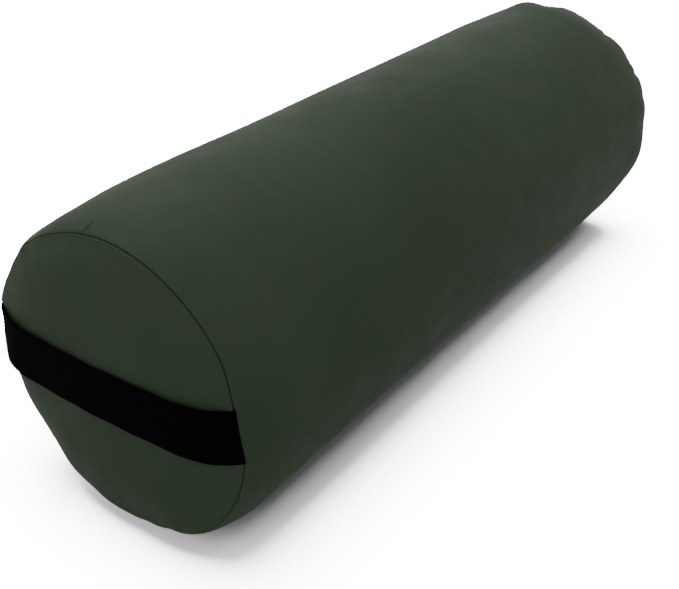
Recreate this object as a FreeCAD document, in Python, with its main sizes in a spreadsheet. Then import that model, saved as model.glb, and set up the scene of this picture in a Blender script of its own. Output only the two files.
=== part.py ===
import FreeCAD, Part
import Sketcher
import os

# A round massage bolster pillow: a foam core in polyester batting, a sewn vinyl cover closed
# by a zip along its back, and a webbing carry strap caught in the seam of one end.
#
# Millimetres. +X runs along the bolster, away from the end with the strap, and +Z is up. The
# origin is the middle of the flat strip that the bolster rests on. Round pieces are drawn about
# their own X axis and lifted to the bolster's axis; the zip's pieces are drawn on the +Y side and
# turned about that axis to the zip's place.

DIMENSIONS = {
    # the stuffed cover, outside
    "body_radius": 114.3,
    "half_length": 330.2,
    "seam_place": 309.8,
    "seam_radius": 106.7,
    "shoulder_run": 40.0,
    "crown_reach": 60.0,
    "crown_radius": 500.0,
    "flat_depth": 1.2,
    # cover material
    "vinyl": 1.2,
    "allowance": 10.0,
    "thread": 0.7,
    "thread_depth": 2.9,
    "clearance": 0.05,
    "bite": 0.1,
    # filling
    "layer_gap": 0.2,
    "batting": 10.0,
    "core_half_length": 294.0,
    "core_edge": 5.0,
    "pad_radius": 94.0,
    # carry strap
    "strap_width": 38.1,
    "strap_thick": 1.5,
    "strap_rise": 10.5,
    "strap_tilt": 1.5,
    "strap_flat": 70.0,
    "strap_crown": 700.0,
    "strap_fold": 2.2,
    "strap_tail": 9.0,
    "strap_room": 0.3,
    # zip, in the order from the cover inwards
    "zip_angle": 12.0,
    "slot_half_width": 6.0,
    "slot_half_length": 262.0,
    "hem_half_width": 18.0,
    "hem_past_slot": 6.0,
    "tape_thick": 0.6,
    "tape_half_width": 16.0,
    "tape_half_length": 278.0,
    "tape_parting": 0.3,
    "tape_spread": 1.7,
    "coil_half_width": 3.1,
    "coil_rise": 2.3,
    "coil_start": -250.0,
    "coil_stop": 255.8,
    "stop_long": 3.6,
    "stop_width": 2.3,
    "stop_rise": 1.8,
    "stop_corner": 0.5,
    "zip_play": 0.3,
    "recess_depth": 6.0,
    "recess_half_width": 20.0,
    "recess_half_length": 286.0,
    "topstitch_place": 10.0,
    "topstitch_half_length": 267.0,
    "tack_half_length": 9.0,
    "tack_past_slot": 2.5,
    # zip slider and pull tab
    "slider_place": -248.5,
    "slider_half_length": 6.0,
    "slider_nose": 5.4,
    "slider_tail": 4.3,
    "slider_plate": 1.2,
    "slider_wall": 0.8,
    "slider_corner": 0.5,
    "diamond_half_width": 1.3,
    "diamond_long": 3.6,
    "diamond_shoulder": 1.4,
    "bridge_half_length": 3.2,
    "bridge_half_width": 1.15,
    "bridge_bar": 1.1,
    "bridge_gap": 1.8,
    "tab_bar": 1.3,
    "tab_window": 4.3,
    "tab_long": 32.0,
    "tab_half_width": 3.9,
    "tab_neck": 3.0,
    "tab_window_half_width": 1.6,
    "tab_hole": 1.5,
    "tab_hole_inset": 4.5,
    "tab_corner": 3.0,
}

doc = FreeCAD.newDocument("bolster_pillow")
sheet = doc.addObject("Spreadsheet::Sheet", "dims")
for row, (alias, number) in enumerate(DIMENSIONS.items(), start=1):
    sheet.set(f"A{row}", alias)
    sheet.set(f"B{row}", str(number))
    sheet.setAlias(f"B{row}", alias)
doc.recompute()


class Size:
    """A length that carries its number and the sheet expression that gives it."""

    def __init__(self, number, text):
        self.number = number
        self.text = text

    def __add__(self, other):
        other = size(other)
        return Size(self.number + other.number, f"({self.text} + {other.text})")

    def __sub__(self, other):
        other = size(other)
        return Size(self.number - other.number, f"({self.text} - {other.text})")

    def __mul__(self, other):
        other = size(other)
        return Size(self.number * other.number, f"({self.text} * {other.text})")

    def __truediv__(self, other):
        other = size(other)
        return Size(self.number / other.number, f"({self.text} / {other.text})")

    def __neg__(self):
        return Size(-self.number, f"(0 - {self.text})")

    def root(self):
        return Size(self.number**0.5, f"sqrt({self.text})")


def size(value):
    return value if isinstance(value, Size) else Size(float(value), repr(float(value)))


def dim(alias):
    """The sheet's dimension of that name."""
    return Size(DIMENSIONS[alias], f"dims.{alias}")


def bind(thing, **values):
    """Binds properties to sizes; a double underscore in a name stands for a dot."""
    for name, value in values.items():
        thing.setExpression(name.replace("__", "."), size(value).text)


def origin_feature(body, role):
    return next(f for f in body.Origin.OriginFeatures if f.Role == role)


class Outline:
    """A closed sketch whose corners and arc centres are held by sizes from the sheet.

    A point is a pair of sizes. A free point is only a first guess, and the edges that meet
    there place it. An arc is given by its ends and its centre, and runs the short way; with
    both ends held, one coordinate of the centre is enough.
    """

    def __init__(self, body, name, role):
        self.sketch = body.newObject("Sketcher::SketchObject", name)
        self.sketch.AttachmentSupport = (origin_feature(body, role), "")
        self.sketch.MapMode = "FlatFace"
        self.loop = []

    def hold(self, edge, end, point, kinds=("DistanceX", "DistanceY")):
        """Holds one end of an edge, or an arc's centre, at a point."""
        for kind, length in zip(("DistanceX", "DistanceY"), point):
            if kind in kinds:
                index = self.sketch.addConstraint(
                    Sketcher.Constraint(kind, -1, 1, edge, end, length.number)
                )
                self.sketch.setExpression(f"Constraints[{index}]", length.text)

    def add(self, edge, first, last, start, free):
        if self.loop:
            before, end = self.loop[-1][0], self.loop[-1][2]
            self.sketch.addConstraint(
                Sketcher.Constraint("Coincident", before, end, edge, first)
            )
        if not free:
            self.hold(edge, first, start)
        self.loop.append((edge, first, last))
        return edge

    def line(self, start, end):
        edge = self.sketch.addGeometry(Part.LineSegment(spot(start), spot(end)), False)
        return self.add(edge, 1, 2, start, False)

    def arc(self, start, end, centre, free=False):
        a, b = spot(start) - spot(centre), spot(end) - spot(centre)
        turns_left = a.cross(b).z > 0
        angles = [FreeCAD.Vector(1, 0, 0).getAngle(v) * (1 if v.y >= 0 else -1) for v in (a, b)]
        if not turns_left:
            angles.reverse()
        circle = Part.Circle(spot(centre), FreeCAD.Vector(0, 0, 1), a.Length)
        edge = self.sketch.addGeometry(Part.ArcOfCircle(circle, *angles), False)
        self.add(edge, *((1, 2) if turns_left else (2, 1)), start, free)
        if free:
            self.hold(edge, 3, centre)
        else:
            chord = spot(end) - spot(start)
            steep = abs(chord.y) > abs(chord.x)
            self.hold(edge, 3, centre, ("DistanceX",) if steep else ("DistanceY",))
        return edge

    def circle(self, centre, radius):
        edge = self.sketch.addGeometry(
            Part.Circle(spot(centre), FreeCAD.Vector(0, 0, 1), radius.number), False
        )
        self.hold(edge, 3, centre)
        index = self.sketch.addConstraint(Sketcher.Constraint("Radius", edge, radius.number))
        self.sketch.setExpression(f"Constraints[{index}]", radius.text)
        return self

    def parallel(self, edge, other):
        self.sketch.addConstraint(Sketcher.Constraint("Parallel", edge, other))

    def close(self):
        first, last = self.loop[0], self.loop[-1]
        self.sketch.addConstraint(
            Sketcher.Constraint("Coincident", last[0], last[2], first[0], first[1])
        )
        self.loop = []
        return self


def spot(point):
    return FreeCAD.Vector(point[0].number, point[1].number, 0)


def polygon(body, name, role, corners):
    """A closed outline of straight edges through those corners."""
    outline = Outline(body, name, role)
    return add_polygon(outline, corners)


def add_polygon(outline, corners):
    for start, end in zip(corners, corners[1:] + corners[:1]):
        outline.line(start, end)
    return outline.close()


def rectangle(x0, x1, y0, y1):
    return [(x0, y0), (x1, y0), (x1, y1), (x0, y1)]


def new_body(label):
    body = doc.addObject("PartDesign::Body", label)
    body.Label = label
    return body


def revolve(body, outline):
    """Turns an outline all the way round the body's X axis."""
    turned = body.newObject("PartDesign::Revolution", "Turned")
    turned.Profile = outline.sketch
    turned.ReferenceAxis = (origin_feature(body, "X_Axis"), [""])
    turned.Angle = 360.0
    turned.Refine = True
    outline.sketch.Visibility = False
    return turned


def mirror_lengthwise(body, feature):
    """Adds the other half of a piece that is the same on both sides of the middle."""
    mirrored = body.newObject("PartDesign::Mirrored", "OtherHalf")
    mirrored.Originals = [feature]
    mirrored.MirrorPlane = (origin_feature(body, "YZ_Plane"), [""])
    mirrored.Refine = True
    body.Tip = mirrored
    return mirrored


def pad(body, outline, length, both_ways=False):
    padded = body.newObject("PartDesign::Pad", "Padded")
    padded.Profile = outline.sketch
    padded.Midplane = both_ways
    bind(padded, Length=length)
    outline.sketch.Visibility = False
    return padded


def box(name, x0, x1, y0, y1, z0, z1):
    """A Part::Box between those sizes, in its own frame."""
    made = doc.addObject("Part::Box", name)
    bind(made, Length=x1 - x0, Width=y1 - y0, Height=z1 - z0)
    bind(made, Placement__Base__x=x0, Placement__Base__y=y0, Placement__Base__z=z0)
    return made


def boolean(kind, name, base, tool):
    made = doc.addObject(f"Part::{kind}", name)
    made.Base = base
    made.Tool = tool
    made.Refine = True
    base.Visibility = tool.Visibility = False
    return made


def lift_to_axis(thing):
    """Moves a piece drawn about the X axis up to the bolster's axis."""
    bind(thing, Placement__Base__z=axis_height)
    return thing


def turn_to_zip(thing):
    """Moves a piece drawn on the +Y side round the bolster's axis to the zip's place."""
    thing.Placement.Rotation = FreeCAD.Rotation(FreeCAD.Vector(1, 0, 0), DIMENSIONS["zip_angle"])
    bind(thing, Placement__Rotation__Angle=dim("zip_angle"), Placement__Base__z=axis_height)
    return thing


# Shared sizes of the cover's outline. The two panels meet on a cone through the seam, and
# their allowances run along it, inwards.
zero = size(0)
radius = dim("body_radius")
vinyl = dim("vinyl")
gap = dim("layer_gap")
axis_height = radius - dim("flat_depth")
thread_lift = dim("thread") / 2 + dim("clearance")

seam = (dim("seam_place"), dim("seam_radius"))
drop = radius - dim("seam_radius")
run = dim("shoulder_run")
shoulder_arc = (run * run + drop * drop) / (drop * 2)
shoulder_start = dim("seam_place") - run
shoulder_centre = (shoulder_start, radius - shoulder_arc)

crown_centre = (dim("half_length") - dim("crown_radius"), zero)
reach = dim("crown_reach")
reach_cosine = (dim("crown_radius") * dim("crown_radius") - reach * reach).root()
crown_end = (crown_centre[0] + reach_cosine, reach)
# The edge arc carries on from the crown arc, so its centre is on the line from crown_end to
# crown_centre, at the distance that makes it pass through the seam.
inward = ((crown_centre[0] - crown_end[0]) / dim("crown_radius"), -reach / dim("crown_radius"))
chord = (seam[0] - crown_end[0], seam[1] - crown_end[1])
chord_square = chord[0] * chord[0] + chord[1] * chord[1]
edge_arc = chord_square / ((chord[0] * inward[0] + chord[1] * inward[1]) * 2)
edge_centre = (crown_end[0] + inward[0] * edge_arc, crown_end[1] + inward[1] * edge_arc)

side_normal = (
    (seam[0] - shoulder_centre[0]) / shoulder_arc,
    (seam[1] - shoulder_centre[1]) / shoulder_arc,
)
end_normal = ((seam[0] - edge_centre[0]) / edge_arc, (seam[1] - edge_centre[1]) / edge_arc)
both = (side_normal[0] + end_normal[0], side_normal[1] + end_normal[1])
both_length = (both[0] * both[0] + both[1] * both[1]).root()
fold = (-both[0] / both_length, -both[1] / both_length)
towards_side = (fold[1], -fold[0])
towards_end = (-fold[1], fold[0])


def from_seam(depth, across, way):
    """A point that deep along the allowances, and that far across them one way."""
    return (
        seam[0] + fold[0] * depth + way[0] * across,
        seam[1] + fold[1] * depth + way[1] * across,
    )


def inside_corner(normal):
    """A first guess at where a panel's inner face meets its allowance's inner face."""
    cosine = -(normal[0] * fold[0] + normal[1] * fold[1])
    sine = (size(1) - cosine * cosine).root()
    return vinyl * (size(1) - sine) / cosine + vinyl


def build_side_panel():
    """The vinyl sheet rolled into a tube, turned in at both ends and hemmed beside the zip."""
    body = new_body("side_wall")
    outline = Outline(body, "side_profile", "XY_Plane")
    tip = from_seam(dim("allowance"), zero, towards_side)
    tip_inside = from_seam(dim("allowance"), vinyl, towards_side)
    corner = from_seam(inside_corner(side_normal), vinyl, towards_side)
    inner = radius - vinyl
    outline.line((zero, radius), (shoulder_start, radius))
    outline.arc((shoulder_start, radius), seam, shoulder_centre)
    seam_side = outline.line(seam, tip)
    outline.line(tip, tip_inside)
    flange = outline.line(tip_inside, corner)
    under = outline.arc(corner, (shoulder_start, inner), shoulder_centre, free=True)
    outline.line((shoulder_start, inner), (zero, inner))
    outline.line((zero, inner), (zero, radius))
    outline.close()
    outline.parallel(flange, seam_side)
    mirror_lengthwise(body, revolve(body, outline))
    lift_to_axis(body)

    below = box("below_floor", -seam[0], seam[0], -radius, radius, -radius, zero)
    wall = boolean("Cut", "wall_above_floor", body, below)

    form = new_body("outer_form")
    outline = Outline(form, "form_profile", "XY_Plane")
    outline.line((zero, zero), (zero, radius))
    outline.line((zero, radius), (shoulder_start, radius))
    outline.arc((shoulder_start, radius), seam, shoulder_centre)
    outline.line(seam, (seam[0], zero))
    outline.line((seam[0], zero), (zero, zero))
    outline.close()
    mirror_lengthwise(form, revolve(form, outline))
    lift_to_axis(form)
    strip = box("floor_strip", -seam[0], seam[0], -radius, radius, zero, vinyl)
    foot = boolean("Common", "flat_foot", form, strip)
    grounded = boolean("Fuse", "grounded_wall", wall, foot)

    hem = new_body("hem")
    reach_x = dim("slot_half_length") + dim("hem_past_slot")
    outline = Outline(hem, "hem_profile", "YZ_Plane")
    band(outline, inner - vinyl, inner + dim("bite"), -dim("hem_half_width"), dim("hem_half_width"))
    pad(hem, outline, reach_x * 2, both_ways=True)
    turn_to_zip(hem)
    hemmed = boolean("Fuse", "hemmed_wall", grounded, hem)

    slot = new_body("slot")
    half = dim("slot_half_width")
    outline = polygon(
        slot, "slot_profile", "YZ_Plane", rectangle(inner - vinyl * 3, radius + vinyl, -half, half)
    )
    pad(slot, outline, dim("slot_half_length") * 2, both_ways=True)
    turn_to_zip(slot)
    slotted = boolean("Cut", "slotted_wall", hemmed, slot)

    finished = boolean("Cut", "side_panel", slotted, build_strap_notches())
    finished.Label = "side_panel"
    return finished


def band(outline, low, high, left, right):
    """An arched strip between two radii about the axis, cut by flat sides at left and right."""

    def on(arc_radius, across):
        return ((arc_radius * arc_radius - across * across).root(), across)

    outline.arc(on(high, left), on(high, right), (zero, zero))
    outline.line(on(high, right), on(low, right))
    outline.arc(on(low, right), on(low, left), (zero, zero))
    outline.line(on(low, left), on(high, left))
    outline.close()


def build_strap_notches():
    """The room that the strap's two tails take in the side panel's edge."""
    ring = new_body("notch_ring")
    room = dim("strap_room")
    mouth = -dim("strap_fold")
    deep = dim("strap_tail") + room * 2
    thick = dim("strap_thick") + room * 2
    section = [
        from_seam(mouth, -room, towards_side),
        from_seam(mouth, thick + dim("strap_fold"), towards_side),
        from_seam(deep, thick, towards_side),
        from_seam(deep, -room, towards_side),
    ]
    revolve(ring, polygon(ring, "notch_profile", "XY_Plane", section))
    face_handle_end(ring)
    lift_to_axis(ring)
    return boolean("Common", "strap_notches", ring, strap_slab("notch_slab", room))


def strap_slab(name, extra):
    """A slab as wide as the strap and a little more, across the bolster where the strap lies."""
    body = new_body(name)
    half = dim("strap_width") / 2 + extra
    outline = polygon(body, "slab_profile", "YZ_Plane", rectangle(-radius, radius, -half, half))
    pad(body, outline, (dim("half_length") + radius) * 2, both_ways=True)
    body.Placement.Rotation = FreeCAD.Rotation(FreeCAD.Vector(1, 0, 0), DIMENSIONS["strap_tilt"])
    bind(body, Placement__Rotation__Angle=dim("strap_tilt"))
    bind(body, Placement__Base__z=axis_height + dim("strap_rise"))
    return body


def build_end_panel(label, at_handle):
    """A crowned vinyl disc with its edge turned in along the seam."""
    body = new_body(label)
    outline = Outline(body, "panel_profile", "XY_Plane")
    tip = from_seam(dim("allowance"), zero, towards_end)
    tip_inside = from_seam(dim("allowance"), vinyl, towards_end)
    corner = from_seam(inside_corner(end_normal), vinyl, towards_end)
    under_crown_end = (crown_end[0] + inward[0] * vinyl, crown_end[1] + inward[1] * vinyl)
    outline.line((dim("half_length") - vinyl, zero), (dim("half_length"), zero))
    outline.arc((dim("half_length"), zero), crown_end, crown_centre)
    outline.arc(crown_end, seam, edge_centre)
    seam_side = outline.line(seam, tip)
    outline.line(tip, tip_inside)
    flange = outline.line(tip_inside, corner)
    outline.arc(corner, under_crown_end, edge_centre, free=True)
    outline.arc(under_crown_end, (dim("half_length") - vinyl, zero), crown_centre)
    outline.close()
    outline.parallel(flange, seam_side)
    revolve(body, outline)
    if at_handle:
        face_handle_end(body)
    return lift_to_axis(body)


def face_handle_end(body):
    """Turns a piece drawn for the far end round to the end with the strap."""
    body.Placement.Rotation = FreeCAD.Rotation(FreeCAD.Vector(0, 0, 1), 180)


def build_batting_pad(label, at_handle):
    """A disc of batting that crowns one end, between the core and the end panel."""
    body = new_body(label)
    outline = Outline(body, "pad_profile", "XY_Plane")
    inset = vinyl + gap
    foot = dim("core_half_length") + gap
    edge = dim("pad_radius")
    crown = (crown_end[0] + inward[0] * inset, crown_end[1] + inward[1] * inset)
    under = edge_arc - inset
    rise = edge - edge_centre[1]
    rim = (edge_centre[0] + (under * under - rise * rise).root(), edge)
    outline.line((foot, zero), (dim("half_length") - inset, zero))
    outline.arc((dim("half_length") - inset, zero), crown, crown_centre)
    outline.arc(crown, rim, edge_centre)
    outline.line(rim, (foot, edge))
    outline.line((foot, edge), (foot, zero))
    outline.close()
    revolve(body, outline)
    if at_handle:
        face_handle_end(body)
    return lift_to_axis(body)


def build_batting_sleeve():
    """The batting wrapped round the core, thinner under the zip and where it rests."""
    body = new_body("batting_wrap")
    inset = vinyl + gap
    outer = radius - inset
    inner = radius - vinyl - dim("batting")
    end = dim("core_half_length")
    under = shoulder_arc - inset
    step = end - shoulder_start
    rim = (end, shoulder_centre[1] + (under * under - step * step).root())
    outline = Outline(body, "wrap_profile", "XY_Plane")
    outline.line((zero, outer), (shoulder_start, outer))
    outline.arc((shoulder_start, outer), rim, shoulder_centre)
    outline.line(rim, (end, inner))
    outline.line((end, inner), (zero, inner))
    outline.line((zero, inner), (zero, outer))
    outline.close()
    mirror_lengthwise(body, revolve(body, outline))
    lift_to_axis(body)

    below = box("below_vinyl", -seam[0], seam[0], -radius, radius, -radius, vinyl + gap)
    rested = boolean("Cut", "rested_wrap", body, below)

    recess = new_body("zip_recess")
    half = dim("recess_half_width")
    corners = rectangle(radius - dim("recess_depth"), radius, -half, half)
    pad(
        recess,
        polygon(recess, "recess_profile", "YZ_Plane", corners),
        dim("recess_half_length") * 2,
        both_ways=True,
    )
    turn_to_zip(recess)
    sleeve = boolean("Cut", "batting_sleeve", rested, recess)
    sleeve.Label = "batting_sleeve"
    return sleeve


def build_core():
    """The firm foam cylinder, with its sharp ends eased."""
    body = new_body("foam_core")
    outline = Outline(body, "core_profile", "YZ_Plane")
    outline.circle((zero, zero), radius - vinyl - dim("batting") - gap)
    cylinder = pad(body, outline, dim("core_half_length") * 2, both_ways=True)
    doc.recompute()
    eased = body.newObject("PartDesign::Fillet", "Eased")
    rims = [f"Edge{i}" for i, e in enumerate(cylinder.Shape.Edges, 1) if is_circle(e)]
    eased.Base = (cylinder, rims)
    bind(eased, Radius=dim("core_edge"))
    body.Tip = eased
    return lift_to_axis(body)


def is_circle(edge):
    return isinstance(edge.Curve, Part.Circle)


def build_seam_thread(label, at_handle):
    """The two threads of the lock stitch that joins the panels, one each side of the layers."""
    rings = []
    beyond_strap = dim("strap_room") + dim("strap_thick")
    for number, (way, layer) in enumerate(((towards_side, beyond_strap), (towards_end, vinyl))):
        centre = from_seam(dim("thread_depth"), layer + thread_lift, way)
        ring = doc.addObject("Part::Torus", f"{label}_ring_{number}")
        bind(ring, Radius1=centre[1], Radius2=dim("thread") / 2)
        ring.Placement.Rotation = FreeCAD.Rotation(FreeCAD.Vector(0, 1, 0), 90)
        bind(ring, Placement__Base__x=-centre[0] if at_handle else centre[0])
        bind(ring, Placement__Base__z=axis_height)
        ring.Visibility = False
        rings.append(ring)
    return group(label, rings)


def group(label, pieces):
    """One node that holds several separate solids."""
    made = doc.addObject("Part::Compound", label)
    made.Label = label
    made.Links = pieces
    return made


def build_strap():
    """The webbing: over the crowned end, folded over the seam each side and tucked in."""
    cap = new_body("strap_cap")
    thick = dim("strap_thick")
    crown = dim("strap_crown")
    flat = dim("strap_flat")
    crest = dim("half_length") + dim("strap_room")
    middle = (crest - crown, zero)
    under_flat = (middle[0] + (crown * crown - flat * flat).root(), flat)
    slope = ((middle[0] - under_flat[0]) / crown, -flat / crown)
    over_flat = (under_flat[0] - slope[0] * thick, under_flat[1] - slope[1] * thick)

    tuck = from_seam(-dim("strap_room"), dim("strap_room"), towards_side)
    shoulder = (tuck[0] - under_flat[0], tuck[1] - under_flat[1])
    square = shoulder[0] * shoulder[0] + shoulder[1] * shoulder[1]
    bend = square / ((shoulder[0] * slope[0] + shoulder[1] * slope[1]) * 2)
    bend_centre = (under_flat[0] + slope[0] * bend, under_flat[1] + slope[1] * bend)
    leave = ((tuck[0] - bend_centre[0]) / bend, (tuck[1] - bend_centre[1]) / bend)
    over_bend = (tuck[0] + leave[0] * thick, tuck[1] + leave[1] * thick)
    over_tuck = (tuck[0] + towards_side[0] * thick, tuck[1] + towards_side[1] * thick)
    tail = dim("strap_tail")
    tip = (tuck[0] + fold[0] * tail, tuck[1] + fold[1] * tail)
    over_tip = (over_tuck[0] + fold[0] * tail, over_tuck[1] + fold[1] * tail)

    outline = Outline(cap, "cap_profile", "XY_Plane")
    outline.line((crest, zero), (crest + thick, zero))
    outline.arc((crest + thick, zero), over_flat, middle)
    outline.arc(over_flat, over_bend, bend_centre)
    outline.arc(over_bend, over_tuck, tuck)
    outline.line(over_tuck, over_tip)
    outline.line(over_tip, tip)
    outline.line(tip, tuck)
    outline.arc(tuck, under_flat, bend_centre)
    outline.arc(under_flat, (crest, zero), middle)
    outline.close()
    revolve(cap, outline)
    face_handle_end(cap)
    lift_to_axis(cap)
    strap = boolean("Common", "carry_strap", cap, strap_slab("strap_slab", zero))
    strap.Label = "carry_strap"
    return strap


# Heights of the zip's layers, as distances from the bolster's axis.
tape_top = radius - vinyl * 2 - dim("bite")
tape_under = tape_top - dim("tape_thick")
coil_base = tape_top + dim("clearance")
coil_top = coil_base + dim("coil_rise")


def either_side(lower, inner, outer):
    """The sizes of a strip's two sides, above or below the zip's middle line."""
    return (-outer, -inner) if lower else (inner, outer)


def build_tape(label, lower):
    """A woven tape sewn under the hem; its inner edge stands clear where the chain begins."""
    body = new_body(label)
    left, right = either_side(lower, dim("tape_parting"), dim("tape_half_width"))
    outline = Outline(body, "tape_profile", "YZ_Plane")
    band(outline, tape_under, tape_top, left, right)
    pad(body, outline, dim("tape_half_length") * 2, both_ways=True)
    left, right = either_side(lower, zero, dim("tape_spread"))
    corners = rectangle(-dim("tape_half_length") - gap, dim("coil_start"), left, right)
    spread = body.newObject("PartDesign::Pocket", "Spread")
    notch = polygon(body, "spread_profile", "XZ_Plane", corners)
    spread.Profile = notch.sketch
    spread.Type = "ThroughAll"
    spread.Midplane = True
    return turn_to_zip(body)


def build_coil(label, lower):
    """One side of the nylon chain, as the bar that its turns fill."""
    body = new_body(label)
    left, right = either_side(lower, dim("tape_parting") / 2, dim("coil_half_width"))
    outline = polygon(
        body, "coil_profile", "YZ_Plane", rectangle(coil_base, coil_top, left, right)
    )
    pad(body, outline, dim("coil_stop") - dim("coil_start"))
    bind(outline.sketch, AttachmentOffset__Base__z=dim("coil_start"))
    return turn_to_zip(body)


def build_stops():
    """Two stops ahead of the slider on the parted tapes, and one across the chain's end."""
    play = dim("zip_play")
    front = dim("slider_place") - dim("slider_half_length") - play
    tops = []
    for number, lower in enumerate((False, True)):
        body = new_body(f"top_stop_{number}")
        inner = dim("tape_spread") + gap
        left, right = either_side(lower, inner, inner + dim("stop_width"))
        corners = rectangle(front - dim("stop_long"), front, left, right)
        tops.append(block_on_tape(body, corners))
    both_stops = group("zip_top_stops", tops)
    bottom = new_body("zip_bottom_stop")
    wide = dim("coil_half_width")
    start = dim("coil_stop") + play
    block_on_tape(bottom, rectangle(start, start + dim("stop_long"), -wide, wide))
    return [both_stops, bottom]


def block_on_tape(body, corners):
    """A low block standing on the tapes, with its corners eased."""
    outline = polygon(body, "stop_profile", "XZ_Plane", corners)
    bind(outline.sketch, AttachmentOffset__Base__z=-coil_base)
    raised = pad(body, outline, dim("stop_rise"))
    raised.Reversed = True
    doc.recompute()
    eased = body.newObject("PartDesign::Fillet", "Eased")
    standing = [
        f"Edge{i}"
        for i, e in enumerate(raised.Shape.Edges, 1)
        if abs(e.tangentAt(e.FirstParameter).y) > 0.9
    ]
    eased.Base = (raised, standing)
    bind(eased, Radius=dim("stop_corner"))
    body.Tip = eased
    return turn_to_zip(body)


def build_slider():
    """The slider: two plates joined by the diamond at its nose, side walls and a bridge."""
    body = new_body("zip_slider")
    play = dim("zip_play")
    place, half = dim("slider_place"), dim("slider_half_length")
    nose, tail = dim("slider_nose"), dim("slider_tail")
    wall, plate = dim("slider_wall"), dim("slider_plate")
    front, back = place - half, place + half
    waist = place + half * 0.1
    plate_outline = [
        (front, -nose),
        (waist, -nose),
        (back, -tail),
        (back, tail),
        (waist, nose),
        (front, nose),
    ]
    upper = coil_top + play
    lower = tape_under - play
    stack(body, "lower_plate", plate_outline, lower - plate, plate)
    diamond = dim("diamond_half_width")
    point = front + dim("diamond_long")
    widest = front + dim("diamond_shoulder")
    bite = dim("bite")
    wedge = [
        (front, -diamond * 0.8),
        (widest, -diamond),
        (point, zero),
        (widest, diamond),
        (front, diamond * 0.8),
    ]
    stack(body, "diamond", wedge, lower - bite, upper - lower + bite * 2)
    stack(body, "upper_plate", plate_outline, upper, plate)
    flange_base = tape_top + play
    for name, way in (("left_wall", 1), ("right_wall", -1)):
        side = [
            (front, nose * way),
            (waist, nose * way),
            (back, tail * way),
            (back, (tail - wall) * way),
            (waist, (nose - wall) * way),
            (front, (nose - wall) * way),
        ]
        stack(body, name, side, flange_base, upper - flange_base + bite)
    top = upper + plate
    bar, reach_x = dim("bridge_bar"), dim("bridge_half_length")
    opening = dim("bridge_gap")
    bridge = [
        (place - reach_x, top - bite),
        (place - reach_x, top + opening + bar),
        (place + reach_x, top + opening + bar),
        (place + reach_x, top - bite),
        (place + reach_x - bar, top - bite),
        (place + reach_x - bar, top + opening),
        (place - reach_x + bar, top + opening),
        (place - reach_x + bar, top - bite),
    ]
    outline = polygon(body, "bridge_profile", "XY_Plane", bridge)
    arch = pad(body, outline, dim("bridge_half_width") * 2, both_ways=True)
    doc.recompute()
    eased = body.newObject("PartDesign::Fillet", "Eased")
    crest = (top + opening + bar).number
    plate_top = top.number
    edges = []
    for i, e in enumerate(arch.Shape.Edges, 1):
        low, high = e.BoundBox.YMin, e.BoundBox.YMax
        on_crest = abs(low - crest) < 0.01 and abs(high - crest) < 0.01
        on_plate = abs(low - plate_top) < 0.01 and abs(high - plate_top) < 0.01
        if on_crest and e.BoundBox.XLength < 0.01:
            edges.append(f"Edge{i}")
        if on_plate and is_rim(e, tail.number):
            edges.append(f"Edge{i}")
    eased.Base = (arch, edges)
    bind(eased, Radius=dim("slider_corner"))
    body.Tip = eased
    return turn_to_zip(body)


def is_rim(edge, tail):
    """Whether an edge runs along the slider plate's outline and not at the bridge's foot."""
    if edge.BoundBox.ZLength <= 2 and edge.BoundBox.XLength <= 5:
        return False
    middle = edge.valueAt((edge.FirstParameter + edge.LastParameter) / 2)
    at_side = abs(middle.z) > tail - 0.05
    at_end = edge.BoundBox.ZLength > tail
    return at_side or at_end


def stack(body, name, corners, base, height):
    """Pads an outline seen from outside, from one height above the axis to another."""
    outline = polygon(body, name, "XZ_Plane", corners)
    bind(outline.sketch, AttachmentOffset__Base__z=-base)
    raised = pad(body, outline, height)
    raised.Label = name
    raised.Reversed = True
    return raised


def build_pull_tab():
    """The pull tab, lying along the zip, with the round bar that turns under the bridge."""
    body = new_body("zip_pull_tab")
    place = dim("slider_place")
    bar = dim("tab_bar")
    centre_height = coil_top + dim("zip_play") + dim("slider_plate") + dim("bridge_gap") / 2
    base = centre_height - bar / 2
    neck, window = dim("tab_neck"), dim("tab_window")
    wide, inside = dim("tab_half_width"), dim("tab_window_half_width")
    end = place + dim("tab_long")
    corner = dim("tab_corner")
    shoulder = place + window + corner
    corners = [
        (place, -neck),
        (shoulder, -neck),
        (end - corner, -wide),
        (end, -wide * 0.6),
        (end, wide * 0.6),
        (end - corner, wide),
        (shoulder, neck),
        (place, neck),
    ]
    outline = Outline(body, "tab_profile", "XZ_Plane")
    add_polygon(outline, corners)
    add_polygon(outline, rectangle(place + bar / 2, place + window, -inside, inside))
    outline.circle((end - dim("tab_hole_inset"), zero), dim("tab_hole"))
    bind(outline.sketch, AttachmentOffset__Base__z=-base)
    plate = pad(body, outline, bar)
    plate.Reversed = True
    rod = Outline(body, "rod_profile", "XY_Plane")
    rod.circle((place, centre_height), bar / 2)
    pad(body, rod, neck * 2, both_ways=True)
    return turn_to_zip(body)


def build_topstitch(label, lower):
    """One line of topstitching through the hem and the tape, beside the slot."""
    body = new_body(label)
    across = -dim("topstitch_place") if lower else dim("topstitch_place")
    surface = (radius * radius - across * across).root() + thread_lift
    outline = Outline(body, "thread_profile", "YZ_Plane")
    outline.circle((surface, across), dim("thread") / 2)
    pad(body, outline, dim("topstitch_half_length") * 2, both_ways=True)
    return turn_to_zip(body)


def build_end_tacks():
    """A short tack across each end of the slot."""
    tacks = []
    past_slot = dim("slot_half_length") + dim("tack_past_slot")
    for number, place in enumerate((-past_slot, past_slot)):
        body = new_body(f"end_tack_{number}")
        outline = Outline(body, "tack_profile", "XY_Plane")
        outline.circle((place, radius + thread_lift), dim("thread") / 2)
        pad(body, outline, dim("tack_half_length") * 2, both_ways=True)
        tacks.append(turn_to_zip(body))
    return group("zip_end_tacks", tacks)


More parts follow.
